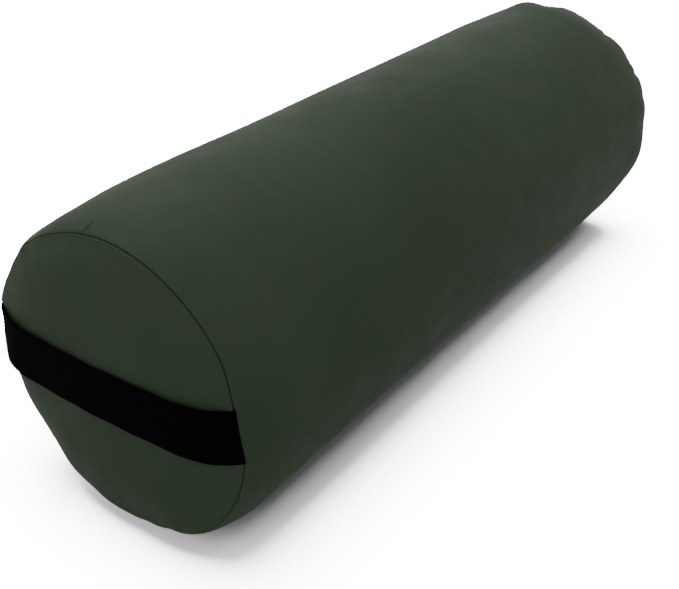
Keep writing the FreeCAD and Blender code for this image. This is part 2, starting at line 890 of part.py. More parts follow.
def build_all():
    parts = [
        build_core(),
        build_batting_sleeve(),
        build_batting_pad("batting_pad_handle", True),
        build_batting_pad("batting_pad_far", False),
        build_side_panel(),
        build_end_panel("end_panel_handle", True),
        build_end_panel("end_panel_far", False),
        build_seam_thread("end_seam_thread_handle", True),
        build_seam_thread("end_seam_thread_far", False),
        build_strap(),
        build_tape("zip_tape_upper", False),
        build_tape("zip_tape_lower", True),
        build_coil("zip_coil_upper", False),
        build_coil("zip_coil_lower", True),
        *build_stops(),
        build_slider(),
        build_pull_tab(),
        build_topstitch("zip_topstitch_upper", False),
        build_topstitch("zip_topstitch_lower", True),
        build_end_tacks(),
    ]
    doc.recompute()
    return parts


def check(parts):
    """Stops if any object of the document failed or any sub-part is not a sound solid."""
    for thing in doc.Objects:
        bad = [state for state in thing.State if state in ("Invalid", "Error")]
        if bad:
            raise RuntimeError(f"{thing.Name} ({thing.Label}) is {bad}")
    for part in parts:
        shape = part.Shape
        if shape.isNull() or not shape.isValid() or not shape.Solids:
            raise RuntimeError(f"{part.Label} has no sound shape")
        if any(solid.Volume <= 0 for solid in shape.Solids):
            raise RuntimeError(f"{part.Label} has an empty solid")


def export(parts):
    os.makedirs("parts", exist_ok=True)
    for part in parts:
        part.Shape.exportStep(f"parts/{part.Label}.step")
        volume = sum(solid.Volume for solid in part.Shape.Solids)
        print(f"{part.Label}: {len(part.Shape.Solids)} solids, {volume / 1000:.2f} cm3")


all_parts = build_all()
check(all_parts)
export(all_parts)
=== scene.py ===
import math

import bmesh
import bpy
import numpy as np
from mathutils import Matrix, Vector


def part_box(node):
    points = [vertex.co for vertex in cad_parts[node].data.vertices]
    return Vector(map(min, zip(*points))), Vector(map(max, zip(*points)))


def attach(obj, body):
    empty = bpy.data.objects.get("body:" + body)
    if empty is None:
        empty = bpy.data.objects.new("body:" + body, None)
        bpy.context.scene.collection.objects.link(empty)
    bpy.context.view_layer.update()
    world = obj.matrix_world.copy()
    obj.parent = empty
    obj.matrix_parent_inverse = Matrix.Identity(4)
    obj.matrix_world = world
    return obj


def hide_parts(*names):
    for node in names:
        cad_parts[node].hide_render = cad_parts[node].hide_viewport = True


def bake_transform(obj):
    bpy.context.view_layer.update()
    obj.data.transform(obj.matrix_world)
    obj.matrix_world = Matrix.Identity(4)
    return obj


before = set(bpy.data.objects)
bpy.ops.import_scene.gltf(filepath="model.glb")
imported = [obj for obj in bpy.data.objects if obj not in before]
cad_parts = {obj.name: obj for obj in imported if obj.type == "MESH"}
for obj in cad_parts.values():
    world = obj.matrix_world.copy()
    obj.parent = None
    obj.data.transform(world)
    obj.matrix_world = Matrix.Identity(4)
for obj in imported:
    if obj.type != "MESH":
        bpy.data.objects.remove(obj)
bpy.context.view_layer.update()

MM = 0.001
TURN = 2 * math.pi


# ---- sizes ----

side_low, side_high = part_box("side_panel")
far_low, far_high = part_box("end_panel_far")
core_low, core_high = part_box("foam_core")
pad_low, pad_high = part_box("batting_pad_far")
coil_low, coil_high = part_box("zip_coil_upper")
_, tape_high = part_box("zip_tape_upper")
_, stitch_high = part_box("zip_topstitch_upper")

RADIUS = (side_high.y - side_low.y) / 2
AXIS = side_high.z - RADIUS
SEAM_X = side_high.x
END_X = far_high.x
SEAM_RADIUS = (far_high.y - far_low.y) / 2
CORE_RADIUS = (core_high.y - core_low.y) / 2
CORE_X = core_high.x
PAD_RADIUS = (pad_high.y - pad_low.y) / 2

# The cover's plain shape: a straight side, a shoulder, a rounded edge and a crown.
SHOULDER_RUN = 40 * MM
CROWN_REACH = 60 * MM
CROWN_RADIUS = 500 * MM
VINYL = 1.2 * MM
FOLD_RADIUS = 1.1 * MM
ALLOWANCE = 9 * MM
PARTING = 0.05 * MM
LAYER_GAP = 0.25 * MM

# The zip and the slot that it closes, across the bolster from the zip's middle line.
ZIP_ANGLE = math.radians(12)
SLOT_HALF_WIDTH = 6 * MM
SLOT_HALF_LENGTH = 262 * MM
SLOT_CLOSED = 0.03 * MM
HEM_HALF_WIDTH = 18 * MM
RECESS_HALF_WIDTH = 20 * MM
RECESS_HEIGHT = RADIUS - 6 * MM
TAPE_TOP = RADIUS - 2 * VINYL - 0.1 * MM
TAPE_THICK = 0.6 * MM
TAPE_HALF_WIDTH = 16 * MM
COIL_BASE = TAPE_TOP + 0.05 * MM
COIL_RISE = 2.3 * MM
COIL_HALF_WIDTH = 3.1 * MM
COIL_PITCH = 1.3 * MM
COIL_WIRE = 0.3 * MM
COIL_HOOK = 0.42 * MM
TOPSTITCH_ACROSS = 10 * MM
TACK_HALF_LENGTH = 9 * MM
STITCH_LENGTH = 3.6 * MM
THREAD_RADIUS = 0.3 * MM
THREAD_DEPTH = 2.9 * MM

# The strap, which lies across the end that faces -X.
STRAP_HALF_WIDTH = 19.05 * MM
STRAP_THICK = 1.3 * MM
STRAP_RISE = 10.5 * MM
STRAP_TILT = math.radians(1.5)
STRAP_FLAT = 70 * MM
STRAP_CROWN = 700 * MM
STRAP_ROOM = 0.3 * MM
STRAP_PINCH = 0.4
STRAP_SUNK = 1.3 * MM
STRAP_TAIL = 7 * MM
STRAP_COLUMNS = 40

# How the strap draws on the seam, and on the cover within its reach of the seam.
STRAP_REACH = 24 * MM
STRAP_SPREAD = 2.8 * STRAP_HALF_WIDTH
STRAP_PULL = 1.6 * MM
STRAP_DRAG = 1.9 * MM
STRAP_LEAN = 0.65
STRAP_CORNER = 1.5 * MM
STRAP_CORNER_SPREAD = 2.2 * STRAP_HALF_WIDTH
STRAP_BOWL = 1.7 * MM
STRAP_DIP = 2.4 * MM
STRAP_DROOP = 2.0 * MM

HANDLE, FAR = -1, 1


# ---- small tools ----

def smooth(value, start, end):
    """0 before start, 1 after end, and an even rise between them."""
    share = np.clip((np.asarray(value, float) - start) / (end - start), 0, 1)
    return share * share * (3 - 2 * share)


def unit(vector):
    return np.asarray(vector, float) / np.linalg.norm(vector)


def wrapped(angle):
    """The angle's equal between minus half a turn and half a turn."""
    return (np.asarray(angle) + math.pi) % TURN - math.pi


def new_object(name, points, faces, material, body):
    """A smooth-shaded mesh that faces outward and, when a body is named, rides on that body's empty."""
    mesh = bpy.data.meshes.new(name)
    mesh.from_pydata(np.asarray(points, float).reshape(-1, 3).tolist(), [], faces)
    work = bmesh.new()
    work.from_mesh(mesh)
    if work.calc_volume(signed=True) < 0:
        bmesh.ops.reverse_faces(work, faces=work.faces[:])
    work.to_mesh(mesh)
    work.free()
    mesh.shade_smooth()
    mesh.materials.append(material)
    obj = bpy.data.objects.new(name, mesh)
    bpy.context.scene.collection.objects.link(obj)
    if body:
        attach(obj, body)
    return obj


def ring_faces(rings, around, closed=True):
    """Quads between rings of points that follow one another."""
    i = np.arange(rings - 1)[:, None]
    j = np.arange(around if closed else around - 1)[None, :]
    k = (j + 1) % around
    corners = (i * around + j, i * around + k, (i + 1) * around + k, (i + 1) * around + j)
    return np.stack(corners, -1).reshape(-1, 4)


def capped(rings, around):
    """The faces of a closed sleeve of rings, with a flat face over each end."""
    first = list(range(around))
    last = list(range((rings - 1) * around, rings * around))
    return ring_faces(rings, around).tolist() + [first[::-1], last]


def tubes(paths, reference, radius, sides, closed=False):
    """Points and faces of round tubes along several paths of equally many points.

    reference is a direction that no path runs along. radius may differ along the path.
    """
    paths = np.asarray(paths, float)
    count, along = paths.shape[:2]
    if closed:
        tangent = np.roll(paths, -1, 1) - np.roll(paths, 1, 1)
    else:
        tangent = np.gradient(paths, axis=1)
    tangent /= np.linalg.norm(tangent, axis=-1, keepdims=True)
    reference = np.broadcast_to(reference, paths.shape)
    square = reference - (reference * tangent).sum(-1, keepdims=True) * tangent
    square /= np.linalg.norm(square, axis=-1, keepdims=True)
    third = np.cross(tangent, square)
    turn = np.linspace(0, TURN, sides, endpoint=False)
    ring = square[:, :, None] * np.cos(turn)[:, None] + third[:, :, None] * np.sin(turn)[:, None]
    thickness = np.broadcast_to(radius, (along,))[None, :, None, None]
    points = paths[:, :, None] + ring * thickness
    if closed:
        base = ring_faces(along + 1, sides) % (along * sides)
        faces = base[None] + (np.arange(count) * along * sides)[:, None, None]
        return points.reshape(-1, 3), faces.reshape(-1, 4).tolist()
    base = capped(along, sides)
    faces = [[v + i * along * sides for v in face] for i in range(count) for face in base]
    return points.reshape(-1, 3), faces


def run_along(points):
    """How far along a path each of its points lies."""
    steps = np.linalg.norm(np.diff(points, axis=0), axis=1)
    return np.concatenate([[0], np.cumsum(steps)])


def on_cylinder(x, radius, angle):
    """Points at a distance from the bolster's axis and an angle from +Y towards +Z."""
    x, radius, angle = np.broadcast_arrays(x, radius, angle)
    return np.stack([x, radius * np.cos(angle), AXIS + radius * np.sin(angle)], -1)


def at_zip(x, across, height):
    """Points beside the zip's middle line, at a height square to the cover there."""
    x, across, height = np.broadcast_arrays(x, across, height)
    cosine, sine = math.cos(ZIP_ANGLE), math.sin(ZIP_ANGLE)
    return np.stack(
        [x, height * cosine - across * sine, AXIS + height * sine + across * cosine], -1
    )


# ---- the cover's plain outline ----
# The outline of the far half in the plane of (distance along the axis, distance from it).

def angle_of(vector):
    return math.atan2(vector[1], vector[0])


def tangent_arc(start, inward, end):
    """Centre and radius of the arc that leaves start square to inward and reaches end."""
    chord = np.subtract(end, start)
    radius = chord @ chord / (2 * (chord @ inward))
    return np.add(start, np.multiply(inward, radius)), radius


SEAM = np.array([SEAM_X, SEAM_RADIUS])
SHOULDER_START = np.array([SEAM_X - SHOULDER_RUN, RADIUS])
SHOULDER_CENTRE, SHOULDER_ARC = tangent_arc(SHOULDER_START, np.array([0, -1]), SEAM)
CROWN_CENTRE = np.array([END_X - CROWN_RADIUS, 0])
CROWN_END = CROWN_CENTRE + [math.sqrt(CROWN_RADIUS**2 - CROWN_REACH**2), CROWN_REACH]
EDGE_CENTRE, EDGE_ARC = tangent_arc(CROWN_END, (CROWN_CENTRE - CROWN_END) / CROWN_RADIUS, SEAM)
SIDE_NORMAL = (SEAM - SHOULDER_CENTRE) / SHOULDER_ARC
END_NORMAL = (SEAM - EDGE_CENTRE) / EDGE_ARC
FOLD = -unit(SIDE_NORMAL + END_NORMAL)
TOWARDS_SIDE = np.array([FOLD[1], -FOLD[0]])
SHOULDER_LENGTH = SHOULDER_ARC * (math.pi / 2 - angle_of(SIDE_NORMAL))
EDGE_LENGTH = EDGE_ARC * (angle_of(END_NORMAL) - angle_of(CROWN_END - EDGE_CENTRE))
CROWN_LENGTH = CROWN_RADIUS * math.asin(CROWN_REACH / CROWN_RADIUS)
SIDE_LENGTH = SHOULDER_START[0] + SHOULDER_LENGTH
PANEL_LENGTH = EDGE_LENGTH + CROWN_LENGTH


def plain_outline(distance):
    """Places and outward normals, by the distance from the seam along the cover.

    The distance is negative on the side panel and positive on the end panel.
    """
    d = np.asarray(distance, float)
    place = np.zeros((len(d), 2))
    normal = np.zeros((len(d), 2))
    straight = d < -SHOULDER_LENGTH
    place[straight, 0] = SHOULDER_START[0] + d[straight] + SHOULDER_LENGTH
    place[straight, 1] = RADIUS
    normal[straight] = (0, 1)
    arcs = (
        (~straight & (d <= 0), SHOULDER_CENTRE, SHOULDER_ARC, SEAM, 0.0),
        ((d > 0) & (d <= EDGE_LENGTH), EDGE_CENTRE, EDGE_ARC, SEAM, 0.0),
        (d > EDGE_LENGTH, CROWN_CENTRE, CROWN_RADIUS, CROWN_END, EDGE_LENGTH),
    )
    for chosen, centre, radius, start, passed in arcs:
        angle = angle_of(start - centre) - (d[chosen] - passed) / radius
        normal[chosen] = np.stack([np.cos(angle), np.sin(angle)], 1)
        place[chosen] = centre + radius * normal[chosen]
    return place, normal


class Rows:
    """A panel's rows, from its middle out to the tip of its turned-in edge."""

    def __init__(self, way, distances):
        """way is -1 for the side panel and 1 for an end panel; distances fall towards the seam."""
        edge_normal = SIDE_NORMAL if way < 0 else END_NORMAL
        across = -TOWARDS_SIDE * way
        centre = SEAM + np.linalg.solve(
            np.array([edge_normal, across]), [-FOLD_RADIUS, PARTING + FOLD_RADIUS]
        )
        reach = np.linalg.norm(centre + FOLD_RADIUS * edge_normal - SEAM)
        distances = distances[distances > reach + 0.2 * MM]
        place, normal = plain_outline(way * distances)
        turn = np.linspace(angle_of(edge_normal), angle_of(-across), 8)
        bend = np.stack([np.cos(turn), np.sin(turn)], 1)
        start = centre + FOLD_RADIUS * bend[-1]
        left = ALLOWANCE - (start - SEAM) @ FOLD
        deep = start + FOLD * np.array([0.25, 0.6, 1])[:, None] * left
        inside = len(bend) + len(deep)
        self.place = np.vstack([place, centre + FOLD_RADIUS * bend, deep])
        self.normal = np.vstack([normal, bend, np.repeat(bend[-1:], len(deep), 0)])
        self.distance = np.concatenate([way * distances, np.zeros(inside)])
        lean = 1 - smooth(np.abs(self.distance), 0, 12 * MM)[:, None]
        heading = self.normal * (1 - lean) - FOLD * lean
        self.heading = heading / np.linalg.norm(heading, axis=1, keepdims=True)
        self.tuck = 1 - smooth(np.abs(self.distance), 0, 14 * MM)
        self.thinned = np.where(self.distance == 0, 0.6, 1.0)[:, None]
        self.way = way


# ---- how the filled cover departs from its plain shape ----

PUCKER_FLARE = 0.3


class Pucker:
    """One small fold that the seam's stitching draws in."""

    def __init__(self, angle, depth, width, slant, reach):
        self.angle = angle
        self.depth = depth
        self.width = width
        self.slant = slant
        self.reach = reach

    def at(self, distance, angle):
        far = np.abs(distance)
        apart = wrapped(angle - self.angle - self.slant * far) * SEAM_RADIUS
        width = self.width + PUCKER_FLARE * far
        return -self.depth * np.exp(-((apart / width) ** 2) - far / self.reach)


class Settled:
    """A broad place where the filling has settled in or out, in degrees and millimetres."""

    def __init__(self, degrees, distance, round_spread, run_spread, rise):
        self.angle = math.radians(degrees)
        self.distance = distance * MM
        self.round_spread = round_spread * MM
        self.run_spread = run_spread * MM
        self.rise = rise * MM

    def at(self, distance, angle):
        apart = wrapped(angle - self.angle) * RADIUS / self.round_spread
        run = (distance - self.distance) / self.run_spread
        return self.rise * np.exp(-(apart**2) - run**2)


def random_puckers(seed, count, shallow, deep, widths):
    """Puckers at uneven spaces all the way round a seam."""
    chance = np.random.default_rng(seed)
    steps = chance.uniform(0.4, 1.6, count)
    angles = np.cumsum(steps) / steps.sum() * TURN
    return [
        Pucker(
            angle,
            chance.uniform(shallow, deep),
            chance.uniform(*widths) * MM,
            chance.uniform(-1.5, 1.5),
            chance.uniform(10, 26) * MM,
        )
        for angle in angles
    ]


def placed(degrees, depth, width, slant, reach):
    """A pucker at a place of its own, in degrees and millimetres."""
    return Pucker(math.radians(degrees), depth * MM, width * MM, slant, reach * MM)


PLEAT_ANGLE = math.radians(83)
PUCKERS = {
    HANDLE: random_puckers(11, 19, 0.20 * MM, 0.75 * MM, (4, 8)) + [
        placed(150, 0.5, 4, -2.0, 24),
        placed(128, 0.6, 4, 1.0, 26),
    ],
    FAR: random_puckers(12, 12, 0.1 * MM, 0.35 * MM, (3, 7)) + [
        placed(87, 1.0, 4.0, 0.3, 18),
        placed(99, 0.7, 3.2, 0.5, 14),
        placed(123, 1.3, 3.0, -0.4, 16),
        placed(149, 1.5, 3.2, 0.6, 15),
        placed(184, 0.4, 8.0, 0.0, 20),
        placed(236, 1.2, 4.0, 0.4, 16),
        placed(291, 1.3, 3.4, -0.5, 18),
        placed(335, 1.1, 3.6, 0.8, 15),
    ],
}

SETTLED = {
    HANDLE: [
        Settled(236, 0, 40, 42, 3.7),
        Settled(223, -27, 12, 16, 0.4),
        Settled(249, 0, 12, 14, -1.1),
        Settled(282, 3, 26, 22, 1.6),
        Settled(300, 8, 14, 18, 0.9),
        Settled(322, 9, 24, 26, -2.3),
        Settled(343, 5, 14, 18, -1.6),
        Settled(38, 0, 14, 20, -0.7),
        Settled(48, -6, 7, 14, 1.0),
        Settled(57, -34, 26, 22, -1.9),
        Settled(82, 3, 26, 13, -2.2),
        Settled(67, 3, 15, 9, -1.7),
        Settled(60, -125, 55, 65, 1.7),
    ],
    FAR: [
        Settled(78, -18, 12, 22, 3.0),
        Settled(64, -42, 20, 26, -1.6),
        Settled(98, -4, 9, 16, 1.8),
        Settled(117, 0, 16, 22, -1.3),
        Settled(134, 0, 12, 18, 1.4),
        Settled(155, 0, 20, 24, 3.0),
        Settled(168, 0, 12, 24, 2.2),
        Settled(190, -10, 26, 26, 3.0),
        Settled(208, -28, 16, 22, -0.9),
        Settled(215, -70, 55, 95, 1.5),
        Settled(300, 0, 60, 50, 1.4),
    ],
}


class Swell:
    """Slow, uneven waves over the whole cover, from the batting underneath."""

    def __init__(self, seed, count, height):
        chance = np.random.default_rng(seed)
        self.waves = [
            (
                int(chance.integers(1, 7)),
                TURN / chance.uniform(0.16, 0.5),
                chance.uniform(0, TURN),
                height * chance.uniform(0.5, 1.0),
            )
            for _ in range(count)
        ]

    def at(self, x, angle):
        total = 0.0
        for round_waves, number, phase, height in self.waves:
            total = total + height * np.sin(round_waves * angle + number * x + phase)
        return total


SWELL = Swell(21, 9, 0.16 * MM)


def strap_droop(y):
    """How far the strap's ends lie below its straight line."""
    return STRAP_DROOP * smooth(np.abs(y), 25 * MM, 105 * MM)


def strap_local(y, z):
    """A place's coordinates along and across the strap."""
    cosine, sine = math.cos(STRAP_TILT), math.sin(STRAP_TILT)
    z = z - AXIS - STRAP_RISE
    along = y * cosine + z * sine
    return along, z * cosine - y * sine + strap_droop(along)


def strap_at_seam(angle):
    """For an angle's place on the seam, its y and how far across the strap it lies."""
    y = SEAM_RADIUS * np.cos(angle)
    return y, strap_local(y, AXIS + SEAM_RADIUS * np.sin(angle))[1]


def strap_shift(y, across, distance):
    """How the strap's pull moves the seam and the cover near it: along the axis and out from it.

    Its end towards -Y draws the seam over the end panel, and its end towards +Y presses it in.
    """
    fade = 1 - smooth(np.abs(distance), 0, STRAP_REACH)
    beside = 1 - smooth(np.abs(across), STRAP_HALF_WIDTH, STRAP_SPREAD)
    beside = beside * (1 + STRAP_LEAN * np.clip(across / STRAP_HALF_WIDTH, -1, 1))
    bowl = np.clip(1 - (across / (1.05 * STRAP_HALF_WIDTH)) ** 2, 0, 1)
    drawn = fade * np.where(y < 0, STRAP_DRAG * beside + STRAP_BOWL * bowl, 0)
    corner = smooth(across, 0.4 * STRAP_HALF_WIDTH, STRAP_HALF_WIDTH)
    corner = corner * (1 - smooth(across, STRAP_HALF_WIDTH, STRAP_CORNER_SPREAD))
    pressed = fade * np.where(y > 0, STRAP_DIP * bowl - STRAP_CORNER * corner, 0)
    return [pressed * FOLD[i] - drawn * TOWARDS_SIDE[i] for i in (0, 1)]


def tail_room(rows, across):
    """How far the side panel's tucked edge stands off, to leave room for the strap's tail."""
    if rows.way > 0:
        return 0.0
    covered = 1 - smooth(np.abs(across) - STRAP_HALF_WIDTH, 0.2 * MM, 3 * MM)
    return (STRAP_PINCH * STRAP_THICK + STRAP_ROOM) * rows.tuck[:, None] * covered


def rise(end, distance, x, radius, angle):
    """How far the cover stands out from its plain shape, in metres."""
    total = SWELL.at(end * x, angle) * smooth(radius, 10 * MM, 90 * MM)
    for pucker in PUCKERS[end]:
        total = total + pucker.at(distance, angle)
    for settled in SETTLED[end]:
        total = total + settled.at(distance, angle)
    if end == FAR:
        return total
    total = total + pleat(distance, angle)
    _, across = strap_local(radius * np.cos(angle), AXIS + radius * np.sin(angle))
    beneath = 1 - smooth(np.abs(across), STRAP_HALF_WIDTH - 1 * MM, STRAP_HALF_WIDTH + 5 * MM)
    reach = np.where(distance < 0, 9 * MM, 22 * MM)
    near = 1 - smooth(np.abs(distance) / reach, 0, 1)
    held = beneath * np.where(distance < 0, near, 1.0)
    within = 1 - smooth(np.abs(across), STRAP_HALF_WIDTH - 3 * MM, STRAP_HALF_WIDTH)
    pulled = np.where(np.cos(angle) < 0, beneath, within)
    return total * (1 - held) - pulled * near * STRAP_PULL


def pleat(distance, angle):
    """A short crease in the side panel where its sewing gathered a little slack."""
    apart = wrapped(angle - PLEAT_ANGLE) * SEAM_RADIUS
    run = smooth(-distance, -1 * MM, 1 * MM) * (1 - smooth(-distance, 5 * MM, 14 * MM))
    valley = -1.0 * np.exp(-((apart / (1.0 * MM)) ** 2))
    ridge = 0.5 * np.exp(-(((apart + 2.4 * MM) / (2.0 * MM)) ** 2))
    return run * (valley + ridge) * MM


def rested(points, inset):
    """The points kept at or above the plane that a layer at that inset rests on."""
    above = points[..., 2] - inset
    points[..., 2] = inset + (above + np.sqrt(above**2 + (0.4 * MM) ** 2)) / 2
    return points


def laid_out(rows, end, angle, inset):
    """A panel's points at those angles, under its surface by an inset."""
    distance = rows.distance[:, None]
    x, radius = rows.place[:, :1], rows.place[:, 1:]
    up = rise(end, distance, x, radius, angle)
    under = inset * rows.thinned
    along = x + rows.heading[:, :1] * up - rows.normal[:, :1] * under
    out = radius + rows.heading[:, 1:] * up - rows.normal[:, 1:] * under
    if end == HANDLE:
        y, across = strap_at_seam(angle)
        shift = strap_shift(y, across, distance)
        room = tail_room(rows, across)
        along = along + shift[0] + TOWARDS_SIDE[0] * room
        out = out + shift[1] + TOWARDS_SIDE[1] * room
    return rested(on_cylinder(end * along, out, angle), inset)


# ---- materials ----

class Shader:
    """A material whose nodes are added one by one."""

    def __init__(self, name):
        self.material = bpy.data.materials.new(name)
        self.material.use_nodes = True
        self.tree = self.material.node_tree
        self.surface = self.tree.nodes["Principled BSDF"]

    def feed(self, socket, value):
        if isinstance(value, bpy.types.NodeSocket):
            self.tree.links.new(value, socket)
        elif isinstance(value, tuple) and len(value) == 3 and socket.type == "RGBA":
            socket.default_value = (*value, 1)
        else:
            socket.default_value = value

    def node(self, kind, inputs=None, **settings):
        made = self.tree.nodes.new("ShaderNode" + kind)
        for key, value in settings.items():
            setattr(made, key, value)
        for key, value in (inputs or {}).items():
            self.feed(made.inputs[key], value)
        return made

    def places(self, stretch=(1, 1, 1), turn=(0, 0, 0)):
        """The surface's own coordinates in metres, stretched."""
        coordinates = self.node("TexCoord").outputs["Object"]
        mapping = {"Vector": coordinates, "Scale": stretch, "Rotation": turn}
        return self.node("Mapping", mapping).outputs["Vector"]

    def cloth(self, stretch=(1, 1, 1)):
        """Metres along and across a strip, from its own coordinates."""
        coordinates = self.node("UVMap", uv_map="strip").outputs["UV"]
        return self.node("Mapping", {"Vector": coordinates, "Scale": stretch}).outputs["Vector"]

    def noise(self, where, scale, detail=3.0, rough=0.5):
        inputs = {"Vector": where, "Scale": scale, "Detail": detail, "Roughness": rough}
        return self.node("TexNoise", inputs).outputs["Fac"]

    def cells(self, where, scale, feature="F1"):
        inputs = {"Vector": where, "Scale": scale}
        return self.node("TexVoronoi", inputs, feature=feature).outputs["Distance"]

    def sums(self, operation, a, b=0.0):
        made = self.node("Math", operation=operation)
        self.feed(made.inputs[0], a)
        self.feed(made.inputs[1], b)
        return made.outputs[0]

    def spread(self, value, low, high, to_low=0.0, to_high=1.0):
        inputs = {
            "Value": value, "From Min": low, "From Max": high, "To Min": to_low, "To Max": to_high
        }
        return self.node("MapRange", inputs).outputs["Result"]

    def blend(self, share, a, b):
        """A colour between two."""
        made = self.node("Mix", data_type="RGBA")
        self.feed(made.inputs[0], share)
        self.feed(made.inputs[6], a)
        self.feed(made.inputs[7], b)
        return made.outputs[2]

    def relief(self, height, depth, under=None):
        inputs = {"Height": height, "Distance": depth, "Strength": 1.0}
        if under is not None:
            inputs["Normal"] = under
        return self.node("Bump", inputs).outputs["Normal"]

    def finish(self, **inputs):
        for key, value in inputs.items():
            self.feed(self.surface.inputs[key.replace("_", " ")], value)
        return self.material


def vinyl(name, tone):
    """Soft matte upholstery vinyl: a fine pebbled grain, faintly uneven in colour and sheen."""
    shader = Shader(name)
    where = shader.places()
    pebbles = shader.cells(where, 1050)
    grain = shader.noise(where, 2600, 2, 0.6)
    broad = shader.noise(where, 6, 3, 0.55)
    patches = shader.noise(where, 38, 4, 0.6)
    rough = shader.spread(patches, 0.3, 0.7, 0.50, 0.60)
    dark = tuple(0.90 * part for part in tone)
    light = tuple(1.10 * part for part in tone)
    colour = shader.blend(shader.spread(broad, 0.3, 0.7), dark, light)
    height = shader.sums("ADD", shader.sums("MULTIPLY", pebbles, 0.7), grain)
    return shader.finish(
        Base_Color=colour,
        Roughness=rough,
        Specular_IOR_Level=0.06,
        Normal=shader.relief(height, 0.035 * MM),
    )


def foam():
    """Cream polyurethane foam with open cells, its colour darkened in the pores as painted shade."""
    shader = Shader("foam")
    where = shader.places()
    cells = shader.cells(where, 900, "SMOOTH_F1")
    broad = shader.noise(where, 12, 3)
    pore_depth_and_shade = shader.spread(cells, 0.1, 0.6)
    foam_tone = shader.blend(shader.spread(broad, 0.3, 0.7), (0.66, 0.60, 0.42), (0.76, 0.71, 0.54))
    # The pores' colour is darker than the foam's own tone: painted shade in the open cells.
    colour = shader.blend(pore_depth_and_shade, (0.45, 0.39, 0.24), foam_tone)
    return shader.finish(
        Base_Color=colour, Roughness=0.92, Specular_IOR_Level=0.15,
        Normal=shader.relief(pore_depth_and_shade, 0.5 * MM),
    )


def batting(name, seed):
    """White polyester batting, a loft of fine crossing fibres, with painted shade in the low places
    between its tufts.
    """
    shader = Shader(name)
    lengthwise = shader.noise(shader.places((40, 900, 900)), 1.0 + 0.01 * seed, 4, 0.7)
    crosswise = shader.noise(shader.places((900, 60, 900), (0.4, 0.9, 0.2)), 1.0, 4, 0.7)
    tufts = shader.noise(shader.places(), 60, 4, 0.6)
    fibres = shader.sums("MAXIMUM", lengthwise, crosswise)
    # Colour lighter on the raised tufts and darker between them: painted shade of the loft.
    colour = shader.blend(tufts, (0.72, 0.72, 0.69), (0.90, 0.90, 0.88))
    height = shader.sums("ADD", fibres, shader.sums("MULTIPLY", tufts, 2.0))
    return shader.finish(
        Base_Color=colour, Roughness=0.95, Specular_IOR_Level=0.1, Sheen_Weight=0.4,
        Normal=shader.relief(height, 1.0 * MM),
    )


def weave(shader, along_pitch, across_pitch):
    """Plain weave: yarns pass over and under one another. Gives a height from 0 to 1."""
    parts = shader.node("SeparateXYZ", {"Vector": shader.cloth()})
    along = shader.sums("MULTIPLY", parts.outputs["X"], math.pi / along_pitch)
    across = shader.sums("MULTIPLY", parts.outputs["Y"], math.pi / across_pitch)
    warp = shader.sums("ABSOLUTE", shader.sums("SINE", across))
    weft = shader.sums("ABSOLUTE", shader.sums("SINE", along))
    half_across = shader.sums("FLOOR", shader.sums("DIVIDE", across, math.pi))
    half_along = shader.sums("FLOOR", shader.sums("DIVIDE", along, math.pi))
    step = shader.sums("ADD", half_across, half_along)
    over = shader.sums("PINGPONG", step, 1.0)
    warp_up = shader.sums("MULTIPLY", warp, shader.sums("ADD", shader.sums("MULTIPLY", weft, over), 0.25))
    under = shader.sums("SUBTRACT", 1.0, over)
    weft_up = shader.sums("MULTIPLY", weft, shader.sums("MULTIPLY", warp, under))
    return shader.sums("MAXIMUM", warp_up, weft_up)


def webbing():
    """Black polypropylene webbing, a heavy plain weave, with painted shade in the hollows between its
    yarns.
    """
    shader = Shader("webbing")
    height = weave(shader, 1.5 * MM, 1.05 * MM)
    fibres = shader.noise(shader.cloth((9000, 900, 1)), 1.0, 2)
    broad = shader.noise(shader.places(), 30, 3)
    # Raised yarns get a lighter colour and the hollows between them a darker one: painted shade of the
    # weave.
    tone = shader.blend(height, (0.0001, 0.0001, 0.0003), (0.0007, 0.0006, 0.0013))
    colour = shader.blend(shader.spread(broad, 0.35, 0.65, 0, 0.5), tone, (0.0005, 0.0004, 0.0009))
    rough = shader.spread(fibres, 0.3, 0.7, 0.74, 0.90)
    normal = shader.relief(fibres, 0.03 * MM, shader.relief(height, 0.28 * MM))
    return shader.finish(
        Base_Color=colour, Roughness=rough, Specular_IOR_Level=0.02, Normal=normal
    )


def zip_tape():
    """Fine twill polyester tape, with painted shade in the hollows between its yarns."""
    shader = Shader("zip_tape")
    height = weave(shader, 0.55 * MM, 0.42 * MM)
    broad = shader.noise(shader.places(), 45, 3)
    # Raised yarns get a lighter colour and the hollows between them a darker one: painted shade of the
    # weave.
    tone = shader.blend(height, (0.012, 0.015, 0.011), (0.034, 0.041, 0.031))
    colour = shader.blend(shader.spread(broad, 0.3, 0.7, 0, 0.3), tone, (0.018, 0.022, 0.017))
    return shader.finish(
        Base_Color=colour, Roughness=0.8, Specular_IOR_Level=0.2,
        Normal=shader.relief(height, 0.12 * MM),
    )


def zip_nylon():
    """Smooth dark nylon monofilament."""
    shader = Shader("zip_nylon")
    where = shader.places()
    scuffs = shader.noise(where, 900, 3)
    broad = shader.noise(where, 50, 2)
    colour = shader.blend(broad, (0.016, 0.019, 0.015), (0.028, 0.033, 0.026))
    return shader.finish(
        Base_Color=colour, Roughness=shader.spread(scuffs, 0.3, 0.7, 0.26, 0.44),
        Specular_IOR_Level=0.5, Normal=shader.relief(scuffs, 0.01 * MM),
    )


